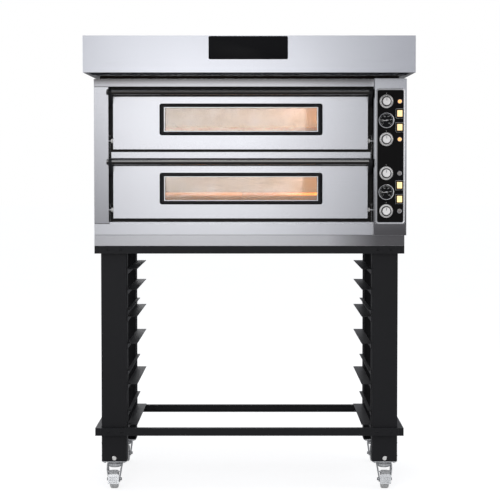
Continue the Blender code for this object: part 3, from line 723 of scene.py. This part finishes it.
def hinge_pins(deck):
    """A pin and a white bush at each end of the door's lower edge."""
    at = pivot(f"door_{deck}_hinge")
    low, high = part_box(f"door_panel_{deck}")
    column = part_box("left_column")[1].x
    pin, bush, bush_length, edge = 0.0042, 0.0092, 0.0086, 0.0008
    for side, start, end in (("left", column, low.x), ("right", high.x, HOUSING_BOX[0].x)):
        length = end - start
        shank = [(0, PROUD), (pin, PROUD), (pin, length - PROUD), (0, length - PROUD)]
        place = (start, at.y, at.z)
        turned(f"hinge_pin_{side}_{deck}", shank, place, (1, 0, 0), STEEL_TRIM, "oven", 32)
        collar = [
            (0.0044, 0),
            (0.0085, 0),
            (bush, edge),
            (bush, bush_length - edge),
            (0.0085, bush_length),
            (0.0044, bush_length),
        ]
        nearest = start + length - 0.0110 if side == "left" else start + 0.0022
        place = (nearest, at.y, at.z)
        turned(f"hinge_bush_{side}_{deck}", collar, place, (1, 0, 0), NEEDLE, "oven", 32)


# ---------------- chambers
def chamber(deck):
    """What a baking chamber holds: its hearth, its heating element, its seal and its lamp."""
    low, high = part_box(f"hearth_{deck}")
    ceiling = low.z + HEARTH_TO_CEILING
    hearth_slabs(deck, low, high)
    heating_element(deck, low, high, ceiling - 0.0065)
    mouth_seal(deck, low, high, ceiling)
    chamber_lamp(deck, Vector((high.x + 0.0015, -0.02, high.z + 0.082)))


def hearth_slabs(deck, low, high):
    """Two stone slabs with a chamfered front edge, which stand for the CAD hearth."""
    joint_x, gap, chamfer = -0.033, 0.0016, 0.016
    outline = [
        (low.y, low.z),
        (low.y, high.z - chamfer),
        (low.y + chamfer, high.z),
        (high.y, high.z),
        (high.y, low.z),
    ]
    for side, start, end in (("left", low.x, joint_x - gap), ("right", joint_x + gap, high.x)):
        bm = add_prism(bmesh.new(), outline, X, start, end, 0.0016)
        slab = piece(bm, f"hearth_slab_{side}_{deck}", STONE, "oven")
        if side == "left":
            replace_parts(slab, f"hearth_{deck}")


def heating_element(deck, low, high, level):
    """One bent rod that runs to and fro across the chamber."""
    runs, from_front, bend, radius = 7, 0.10, 0.0425, 0.0042
    left, right = low.x + 0.09, high.x - 0.06
    turn = arc((0, 0), bend, -90, 90, 10)[1:-1]
    route = []
    for index in range(runs):
        row = low.y + from_front + 2 * bend * index
        start, end, way = (left, right, 1) if index % 2 == 0 else (right, left, -1)
        route += [(start, row), (end, row)]
        if index < runs - 1:
            route += [(end + way * u, row + bend + v) for u, v in turn]
    bm = add_tube(bmesh.new(), [(x, y, level) for x, y in route], radius, 10)
    piece(bm, f"heating_element_{deck}", ELEMENT, "oven", 60)


def mouth_seal(deck, low, high, ceiling):
    """The black seal up both sides of the chamber's mouth and across its top."""
    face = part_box(f"chamber_liner_{deck}")[0].y
    left, right = low.x + 0.001, high.x - 0.001
    outside, inside, thickness = 0.016, 0.006, 0.0018
    bottom, lintel = low.z + 0.002, ceiling + 0.003
    top = lintel + 0.010
    bm = bmesh.new()
    for start, end, foot in (
        (left - outside, left - inside, bottom),
        (right + inside, right + outside, bottom),
        (left - inside, right + inside, lintel),
    ):
        add_box(bm, (start, face - thickness, foot), (end, face - PROUD, top), 0.0006)
    piece(bm, f"chamber_seal_{deck}", BLACK_RUBBER, "oven")


def chamber_lamp(deck, at):
    """A lamp in the right wall: a bright rim and a domed lens."""
    rim = [(0, 0), (0.030, 0), (0.030, 0.002), (0.026, 0.004), (0.024, 0.002), (0, 0.002)]
    turned(f"chamber_lamp_rim_{deck}", rim, at, (-1, 0, 0), STEEL_TRIM, "oven")
    lens = [(0, 0.0025), (0.0235, 0.0025), (0.020, 0.007), (0.012, 0.010), (0, 0.011)]
    turned(f"chamber_lamp_lens_{deck}", lens, at, (-1, 0, 0), BULB, "oven")


# ---------------- controls
PLATE_LOW, PLATE_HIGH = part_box("control_plate")
PLATE_FACE = pivot("knob_lower_deck_lower_turn").y


def knob_details(name):
    """A skirt with dial marks, a dark groove and a tall cap, which stand for the CAD knob."""
    body = node = f"knob_{name}"
    at = pivot(f"knob_{name}_turn")
    out = (0, -1, 0)
    skirt = [
        (0, 0.0008),
        (0.0288, 0.0008),
        (0.0293, 0.0014),
        (0.0293, 0.0028),
        (0.0288, 0.0036),
        (0.0222, 0.0066),
        (0.0218, 0.0060),
        (0, 0.0060),
    ]
    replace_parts(turned(f"knob_skirt_{name}", skirt, at, out, KNOB_SKIRT, body, 96), node)
    groove = [(0.0150, 0.0062), (0.0216, 0.0062), (0.0216, 0.0070), (0.0182, 0.0096), (0.0150, 0.0096)]
    turned(f"knob_groove_{name}", groove, at, out, BLACK_RUBBER, body, 96)
    bm = bmesh.new()
    cap = [(0, 0.0062), (0.0146, 0.0062), (0.0172, 0.0094), (0.0168, 0.0215)]
    cap += arc((0.0148, 0.0215), 0.0020, 0, 90, 5)
    cap += [(0.0120, 0.0232), (0, 0.0229)]
    add_turned(bm, cap, at, out, 96)
    flutes = 24
    for k in range(flutes):
        angle = math.tau * k / flutes
        rib = at + Vector((math.sin(angle), 0, math.cos(angle))) * 0.0170
        add_tube(bm, [rib + Vector((0, -0.0100, 0)), rib + Vector((0, -0.0205, 0))], 0.0006, 8)
    piece(bm, f"knob_cap_{name}", KNOB_CAP, body)
    bm = bmesh.new()
    add_box(bm, at + Vector((-0.0008, -0.0240, 0.0030)), at + Vector((0.0008, -0.0226, 0.0150)), 0.0002)
    marks, sweep = 20, 300
    for k in range(marks + 1):
        angle = math.radians(-sweep / 2 + sweep * k / marks)
        reach = 0.0060 if k % 5 == 0 else 0.0042
        turn = Matrix.Translation(at) @ Matrix.Rotation(angle, 4, "Y")
        tilt = Matrix.Translation((0, -0.0051, 0.0256)) @ Matrix.Rotation(math.radians(24.4), 4, "X")
        low, high = (-0.0006, -0.0003, -0.5 * reach), (0.0006, 0.0006, 0.5 * reach)
        add_box(bm, low, high, place=turn @ tilt)
    piece(bm, f"knob_marks_{name}", INK_DARK, body)


def text_mesh(text, size, thickness):
    """Flat raised lettering, only used for a dial's numbers, centred on the origin in the XY plane."""
    curve = bpy.data.curves.new("number", "FONT")
    curve.body = text
    curve.size = size
    curve.extrude = thickness
    curve.align_x = "CENTER"
    curve.align_y = "CENTER"
    holder = bpy.data.objects.new("number", curve)
    bpy.context.scene.collection.objects.link(holder)
    mesh = bpy.data.meshes.new_from_object(holder.evaluated_get(bpy.context.evaluated_depsgraph_get()))
    bpy.data.objects.remove(holder)
    return mesh


def gauge_details(deck):
    """A bright bezel, a black dial with marks and numbers, and the needle's hub."""
    node = f"gauge_{deck}"
    at = pivot(f"gauge_needle_{deck}_turn")
    out = (0, -1, 0)
    rim = [
        (0.0296, 0.0003),
        (0.0338, 0.0003),
        (0.0340, 0.0060),
        (0.0336, 0.0082),
        (0.0322, 0.0094),
        (0.0308, 0.0092),
        (0.0298, 0.0075),
        (0.0294, 0.0048),
    ]
    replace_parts(turned(f"gauge_bezel_{deck}", rim, at, out, STEEL_TRIM, "oven", 96), node)
    face = [(0, 0.0004), (0.0292, 0.0004), (0.0292, 0.0042), (0, 0.0042)]
    turned(f"gauge_dial_{deck}", face, at, out, BLACK_ENAMEL, "oven", 64)
    bm = bmesh.new()
    steps, sweep = 50, 270
    for k in range(steps + 1):
        angle = math.radians(-sweep / 2 + sweep * k / steps)
        reach = 0.0042 if k % 10 == 0 else 0.0022
        half = 0.00045 if k % 10 == 0 else 0.00022
        turn = Matrix.Translation(at) @ Matrix.Rotation(angle, 4, "Y")
        add_box(bm, (-half, -0.0044, 0.0272 - reach), (half, -0.0041, 0.0272), place=turn)
    upright = Matrix.Rotation(math.radians(90), 4, "X")
    for k in range(6):
        angle = math.radians(-sweep / 2 + sweep * k / 5)
        spot = at + Vector((math.sin(angle) * 0.0180, -0.0042, math.cos(angle) * 0.0180))
        number = text_mesh(str(100 * k), 0.0050, 0.0001)
        number.transform(Matrix.Translation(spot) @ upright)
        bm.from_mesh(number)
        bpy.data.meshes.remove(number)
    piece(bm, f"gauge_marks_{deck}", INK_LIGHT, "oven")
    hub = [(0, 0.0064), (0.0036, 0.0064), (0.0034, 0.0076), (0.0020, 0.0084), (0, 0.0086)]
    turned(f"gauge_hub_{deck}", hub, at, out, STEEL_TRIM, f"gauge_needle_{deck}", 32)


def lamps():
    """Indicator lamps beside the knobs: lit on the upper deck, dark on the lower one."""
    lamp_x = pivot("switch_lower_deck_lower_rock").x
    ring = [(0.0078, 0.0002), (0.0104, 0.0002), (0.0104, 0.0016), (0.0094, 0.0028), (0.0078, 0.0024)]
    radius, collar, dome = 0.0076, 0.0030, 0.0038
    lens = [(0, 0.0002), (radius, 0.0002), (radius, collar)]
    angles = [math.radians(a) for a in (20, 40, 60, 75)]
    lens += [(radius * math.cos(a), collar + dome * math.sin(a)) for a in angles]
    lens.append((0, collar + dome))
    for deck, material in (("lower", LAMP_DARK), ("upper", LAMP_LIT)):
        for row in DECKS:
            name = f"{deck}_deck_{row}"
            at = Vector((lamp_x, PLATE_FACE, pivot(f"knob_{name}_turn").z))
            turned(f"lamp_ring_{name}", ring, at, (0, -1, 0), STEEL_TRIM, "oven", 48)
            turned(f"lamp_lens_{name}", lens, at, (0, -1, 0), material, "oven", 48)


PLATE_RIM = (  # outwards from the plate's edge, and Y from its face
    (-0.0015, -0.0002),
    (-0.0008, -0.0014),
    (0.0012, -0.0024),
    (0.0052, -0.0024),
    (0.0066, -0.0012),
    (0.0066, 0.0035),
    (0.0058, 0.0035),
    (0.0058, -0.0003),
)


def plate_details():
    """The control plate's bright frame, its corner screws and the marks printed on it."""
    centre = (PLATE_LOW + PLATE_HIGH) / 2
    half_x, half_z = (PLATE_HIGH.x - PLATE_LOW.x) / 2, (PLATE_HIGH.z - PLATE_LOW.z) / 2
    rim = [(out, PLATE_FACE + y) for out, y in PLATE_RIM]
    bm = add_frame(bmesh.new(), centre, half_x, half_z, 0.008, rim)
    piece(bm, "control_plate_frame", STEEL_TRIM, "oven")
    inset = 0.008
    places = [
        (centre.x + sx * (half_x - inset), PLATE_FACE, centre.z + sz * (half_z - inset))
        for sx in (-1, 1)
        for sz in (-1, 1)
    ]
    screws("control_plate_screws", places, (0, -1, 0), 0.0034, BLACK_ENAMEL, "oven")
    bm = bmesh.new()
    outer, inner = PLATE_FACE - 0.0002, PLATE_FACE - 0.00002
    line = ((0.0006, outer), (0.0006, inner), (-0.0002, inner), (-0.0002, outer))
    for deck in DECKS:
        for row in DECKS:
            knob = pivot(f"knob_{deck}_deck_{row}_turn")
            low = (knob.x - 0.0007, outer, knob.z + 0.0335)
            add_box(bm, low, (knob.x + 0.0007, inner, knob.z + 0.0375))
            switch = pivot(f"switch_{deck}_deck_{row}_rock")
            add_frame(bm, switch, 0.0165, 0.0202, 0.002, line)
    piece(bm, "control_plate_print", INK_LIGHT, "oven")


def nameplate():
    """A plain black plate on the hood's front, with nothing written on it."""
    low, high = HOOD_BOX
    left, right, bottom, top = -0.171, 0.163, high.z - 0.145, high.z - 0.0475
    radius, thickness = 0.006, 0.0014
    outline = []
    for cx, cz, start in (
        (right - radius, top - radius, 0),
        (left + radius, top - radius, 90),
        (left + radius, bottom + radius, 180),
        (right - radius, bottom + radius, 270),
    ):
        outline += arc((cx, cz), radius, start, start + 90, 6)
    bm = add_prism(bmesh.new(), outline, Y, low.y - thickness, low.y - 0.0001, 0.0004)
    piece(bm, "hood_nameplate", BLACK_ENAMEL, "oven")


# ---------------- casing and hood trim
def casing_details():
    """Screws along the sides and the back, and three banks of louvres in the rear panel."""
    low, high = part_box("casing_wrap")
    for side, way in SIDES.items():
        face = high.x if way > 0 else low.x
        rows = [low.z + 0.02 + (high.z - low.z - 0.05) * k / 4 for k in range(5)]
        places = [(face, y, z) for y in (high.y - 0.02, low.y + 0.03) for z in rows]
        screws(f"side_screws_{side}", places, (way, 0, 0), 0.0035, STEEL_TRIM, "oven")
    low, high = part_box("rear_panel")
    across = [low.x + 0.03 + (high.x - low.x - 0.06) * k / 5 for k in range(6)]
    places = [(x, high.y - 0.0001, z) for x in across for z in (low.z + 0.02, high.z - 0.02)]
    screws("rear_screws", places, (0, 1, 0), 0.0035, STEEL_TRIM, "oven")
    face, centre = high.y - 0.0008, (low.x + high.x) / 2
    pitch, half_width, first, proud = 0.016, 0.11, 0.52, 0.0020
    bm = bmesh.new()
    for bank in (-0.36, 0.0, 0.36):
        for k in range(8):
            z = low.z + first + pitch * k
            blade = [
                (face, z),
                (face, z + 0.009),
                (face + 0.0011, z + 0.0085),
                (face + proud, z + 0.0010),
                (face + proud, z),
            ]
            add_prism(bm, blade, X, centre + bank - half_width, centre + bank + half_width)
    piece(bm, "rear_louvres", STEEL_ALONG_X, "oven")


def joint_shadow_strips():
    """Black strips set back in the open joints of the front frame, as painted shadow in those gaps."""
    pan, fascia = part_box("base_pan"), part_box("bottom_fascia")
    column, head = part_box("left_column"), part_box("top_fascia")
    bm = bmesh.new()
    back, front = FRONT + 0.006, FRONT + 0.0004
    joints = (
        (fascia[0].x + 0.001, fascia[1].x - 0.001, pan[1].z + 0.00015, fascia[0].z - 0.00015),
        (column[0].x + 0.001, column[1].x - 0.001, column[0].z - 0.0023, column[0].z - 0.0002),
        (column[0].x + 0.001, column[1].x - 0.001, column[1].z + 0.0002, head[0].z - 0.0002),
    )
    for left, right, bottom, top in joints:
        add_box(bm, (left, front, bottom), (right, back, top), 0.0001, 1)
    piece(bm, "frame_joint_shadows", BLACK_RUBBER, "oven")


def bolts_on_stand():
    """Bolt heads where the bars cross the legs, small ones on the legs' outer faces, and leg plugs."""
    columns = (-0.621, -0.563, 0.563, 0.621)
    levels = [middle("upper_bar_front").z, middle("lower_bar_front").z]
    front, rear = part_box("upper_bar_front")[0].y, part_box("upper_bar_rear")[1].y
    for end, face, normal in (("front", front, (0, -1, 0)), ("rear", rear, (0, 1, 0))):
        places = [(x, face, z) for x in columns for z in levels]
        screws(f"stand_bolts_{end}", places, normal, 0.0062, BLACK_COAT, "oven")
    plug = [(0, 0.0001), (0.0090, 0.0001), (0.0090, 0.0008), (0.0080, 0.0016), (0, 0.0022)]
    for side, way in SIDES.items():
        for end in ENDS:
            low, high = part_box(f"stand_leg_{end}_{side}")
            face = high.x if way > 0 else low.x
            y = (low.y + high.y) / 2
            places = [(face, y + dy, low.z + dz) for dz in (0.022, 0.080) for dy in (-0.02, 0.02)]
            name = f"leg_bolts_{end}_{side}"
            screws(name, places, (way, 0, 0), 0.005, BLACK_COAT, "oven")
            face, out = (low.y, (0, -1, 0)) if end == "front" else (high.y, (0, 1, 0))
            at = (pivot(f"castor_{end}_{side}_swivel").x, face, low.z + 0.0135)
            turned(f"leg_plug_{end}_{side}", plug, at, out, NEEDLE, "oven", 40)


# ---------------- castors
def both_ways(profile):
    """A profile and then its mirror image along the axis."""
    return profile + [(radius, -along) for radius, along in reversed(profile)]


def castor_details(place):
    """A castor's tyre and hub, which stand for the CAD wheel, and the steel that holds them."""
    fork, rolling = f"castor_fork_{place}", f"castor_wheel_{place}"
    swivel, axle = pivot(f"castor_{place}_swivel"), pivot(f"castor_{place}_roll")
    across, up, down = (1, 0, 0), (0, 0, 1), (0, 0, -1)
    tyre = [(0.0262, -0.0150), (0.0295, -0.0172), (0.0330, -0.0180)]
    tyre += arc((0.0320, -0.0100), 0.0080, -90, 0, 6)
    tyre = turned(f"tyre_{place}", both_ways(tyre), axle, across, TREAD, rolling, 96)
    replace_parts(tyre, rolling)
    hub = [
        (0.0062, -0.0198),
        (0.0120, -0.0198),
        (0.0128, -0.0185),
        (0.0135, -0.0120),
        (0.0225, -0.0105),
        (0.0250, -0.0145),
        (0.0260, -0.0148),
    ]
    turned(f"wheel_hub_{place}", both_ways(hub), axle, across, HUB, rolling, 72)
    bm = bmesh.new()
    for way in SIDES.values():
        add_hex_head(bm, axle + Vector((way * 0.0274, 0, 0)), (way, 0, 0), 0.0068)
    piece(bm, f"axle_nuts_{place}", STEEL_TRIM, fork)
    band = [(0.0345, -0.0052), (0.0350, -0.0040), (0.0350, 0.0002), (0.0346, 0.0004)]
    turned(f"crown_band_{place}", band, swivel, up, ZINC, fork, 72)
    race = [(0.0312, 0.0012), (0.0338, 0.0022), (0.0345, 0.0042), (0.0335, 0.0066), (0.0312, 0.0078)]
    turned(f"ball_race_{place}", race, swivel, up, STEEL_TRIM, "oven", 72)
    yoke = [
        (0.0070, -0.0088),
        (0.0300, -0.0088),
        (0.0292, -0.0112),
        (0.0262, -0.0142),
        (0.0215, -0.0162),
        (0.0070, -0.0168),
    ]
    turned(f"fork_yoke_{place}", yoke, swivel, up, ZINC, fork, 72)
    bm = add_hex_head(bmesh.new(), swivel - Vector((0, 0, 0.0128)), down, 0.0062)
    piece(bm, f"king_pin_nut_{place}", STEEL_TRIM, fork)
    low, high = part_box(f"castor_plate_{place}")
    inset, sunk = 0.010, 0.0036
    places = [
        (x, y, high.z - sunk)
        for x in (low.x + inset, high.x - inset)
        for y in (low.y + inset, high.y - inset)
    ]
    screws(f"castor_bolts_{place}", places, down, 0.0052, STEEL_TRIM, "oven", add_hex_head)
    if place.startswith("front"):
        pedal_details(place)


def pedal_details(place):
    """The brake pedal's pin and the ribs across its tread."""
    at = pivot(f"brake_pedal_{place}_press")
    reach = Vector((0.0290, 0, 0))
    bm = add_tube(bmesh.new(), [at - reach, at + reach], 0.0030, 16)
    piece(bm, f"pedal_pin_{place}", STEEL_TRIM, f"castor_fork_{place}", 40)
    low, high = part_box(f"brake_pedal_{place}")
    inset = 0.006
    bm = bmesh.new()
    for k in range(4):
        z = low.z + inset + 0.007 * k
        y = low.y - 0.0006 + 0.0018 * k
        add_box(bm, (low.x + inset, y, z), (high.x - inset, y + 0.003, z + 0.0022), 0.0006)
    piece(bm, f"pedal_ribs_{place}", ZINC, f"brake_pedal_{place}")


# ---------------- stage
def look_at(obj, target):
    obj.rotation_euler = (Vector(target) - obj.location).to_track_quat("-Z", "Y").to_euler()


def area_light(name, place, target, width, height, watts, glossy=True, colour=(1, 1, 1)):
    """A rectangular light that the camera does not see. With no target it points straight down."""
    light = bpy.data.lights.new(name, "AREA")
    light.shape = "RECTANGLE"
    light.size, light.size_y = width, height
    light.energy = watts
    light.color = colour
    holder = bpy.data.objects.new(name, light)
    holder.visible_glossy = glossy
    holder.visible_camera = False
    bpy.context.scene.collection.objects.link(holder)
    holder.location = place
    if target:
        look_at(holder, target)


def chamber_lights(deck):
    """The lamp's beam from the right wall, and the glow of the elements under the ceiling."""
    low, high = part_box(f"hearth_{deck}")
    amber = (1.0, 0.76, 0.44)
    lamp, lit = (high.x - 0.03, 0.08, high.z + 0.055), (low.x + 0.2, 0.12, high.z + 0.02)
    area_light(f"chamber_beam_{deck}", lamp, lit, 0.35, 0.07, 3.6, False, amber)
    under_ceiling = ((low.x + high.x) / 2, 0.08, low.z + HEARTH_TO_CEILING - 0.0115)
    area_light(f"chamber_glow_{deck}", under_ceiling, None, 0.95, 0.60, 1.1, False, amber)


def world():
    """White where the camera sees it, and a soft studio gradient, floor to zenith, for reflections."""
    made = bpy.data.worlds.new("studio")
    bpy.context.scene.world = made
    made.use_nodes = True
    tree = made.node_tree
    tree.nodes.clear()
    place = tree.nodes.new("ShaderNodeTexCoord")
    split = tree.nodes.new("ShaderNodeSeparateXYZ")
    tree.links.new(place.outputs["Generated"], split.inputs["Vector"])
    ramp = tree.nodes.new("ShaderNodeValToRGB")
    tree.links.new(span(tree, split.outputs["Z"], -1, 1, 0, 1), ramp.inputs["Fac"])
    stops = ((0.0, 0.30), (0.42, 0.34), (0.49, 0.46), (0.55, 0.56), (0.75, 0.56), (1.0, 0.55))
    while len(ramp.color_ramp.elements) < len(stops):
        ramp.color_ramp.elements.new(0.5)
    for element, (at, value) in zip(ramp.color_ramp.elements, stops):
        element.position = at
        element.color = (value * 0.93, value * 0.945, value, 1)
    soft = tree.nodes.new("ShaderNodeBackground")
    tree.links.new(ramp.outputs["Color"], soft.inputs["Color"])
    white = tree.nodes.new("ShaderNodeBackground")
    white.inputs["Color"].default_value = (1, 1, 1, 1)
    seen = tree.nodes.new("ShaderNodeLightPath")
    choose = tree.nodes.new("ShaderNodeMixShader")
    tree.links.new(seen.outputs["Is Camera Ray"], choose.inputs["Fac"])
    tree.links.new(soft.outputs["Background"], choose.inputs[1])
    tree.links.new(white.outputs["Background"], choose.inputs[2])
    out = tree.nodes.new("ShaderNodeOutputWorld")
    tree.links.new(choose.outputs["Shader"], out.inputs["Surface"])


def floor():
    """A matt pale floor that the camera sees as white."""
    bm = bmesh.new()
    bmesh.ops.create_circle(bm, cap_ends=True, segments=96, radius=40.0)
    mesh = bpy.data.meshes.new("studio_floor")
    bm.to_mesh(mesh)
    bm.free()
    made = bpy.data.objects.new("studio_floor", mesh)
    bpy.context.scene.collection.objects.link(made)
    made.location.z = -0.0005
    paint = surface("floor_paint", (0.40, 0.40, 0.405), (0.43, 0.43, 0.435), (0.85, 0.95), grain=40)
    tree = paint.node_tree
    shader = tree.nodes["Principled BSDF"]
    shader.inputs["Specular IOR Level"].default_value = 0
    shader.inputs["Emission Color"].default_value = (1, 1, 1, 1)
    seen = tree.nodes.new("ShaderNodeLightPath")
    lift = span(tree, seen.outputs["Is Camera Ray"], 0, 1, 0, 0.78)
    tree.links.new(lift, shader.inputs["Emission Strength"])
    mesh.materials.append(paint)


def camera():
    data = bpy.data.cameras.new("camera")
    data.sensor_width = 36
    data.lens = 111.55
    data.shift_x, data.shift_y = -0.0090, -0.0590
    data.clip_end = 60
    holder = bpy.data.objects.new("camera", data)
    bpy.context.scene.collection.objects.link(holder)
    holder.location = (0.0223, -7.072, 1.4654)
    degrees_down = 2.369
    holder.rotation_euler = (math.radians(90 - degrees_down), 0, 0)
    bpy.context.scene.camera = holder


SOFTBOXES = {  # place, target, width, height, watts, and whether it shows in reflections
    "key": ((-0.42, -7.7, 2.08), (-0.42, 0, 2.08), 2.2, 1.35, 10.6, True),
    "key_low": ((-0.42, -7.7, 0.83), (-0.42, 0, 0.83), 2.2, 1.10, 6.0, True),
    "front_fill": ((-1.0, -6.0, 2.6), (0, 0, 1.2), 3.0, 3.0, 110, False),
    "top": ((0.2, -0.4, 4.8), (0, 0, 1.0), 3.0, 3.0, 30, True),
    "right_fill": ((4.2, -1.5, 2.4), (0, 0, 1.2), 1.6, 2.2, 8, True),
    "rear_fill": ((-1.5, 5.0, 3.0), (0, 0, 1.2), 2.6, 2.0, 26, True),
}


# ---------------- build
dress()
for deck_name in DECKS:
    door_details(deck_name)
    handle(deck_name)
    hinge_pins(deck_name)
    chamber(deck_name)
    chamber_lights(deck_name)
    gauge_details(deck_name)
    for row_name in DECKS:
        knob_details(f"{deck_name}_deck_{row_name}")
lamps()
plate_details()
nameplate()
casing_details()
joint_shadow_strips()
bolts_on_stand()
for end_name in ENDS:
    for side_name in SIDES:
        castor_details(f"{end_name}_{side_name}")
world()
floor()
camera()
for box_name, settings in SOFTBOXES.items():
    area_light(box_name, *settings)
bpy.context.scene.view_settings.view_transform = "Standard"
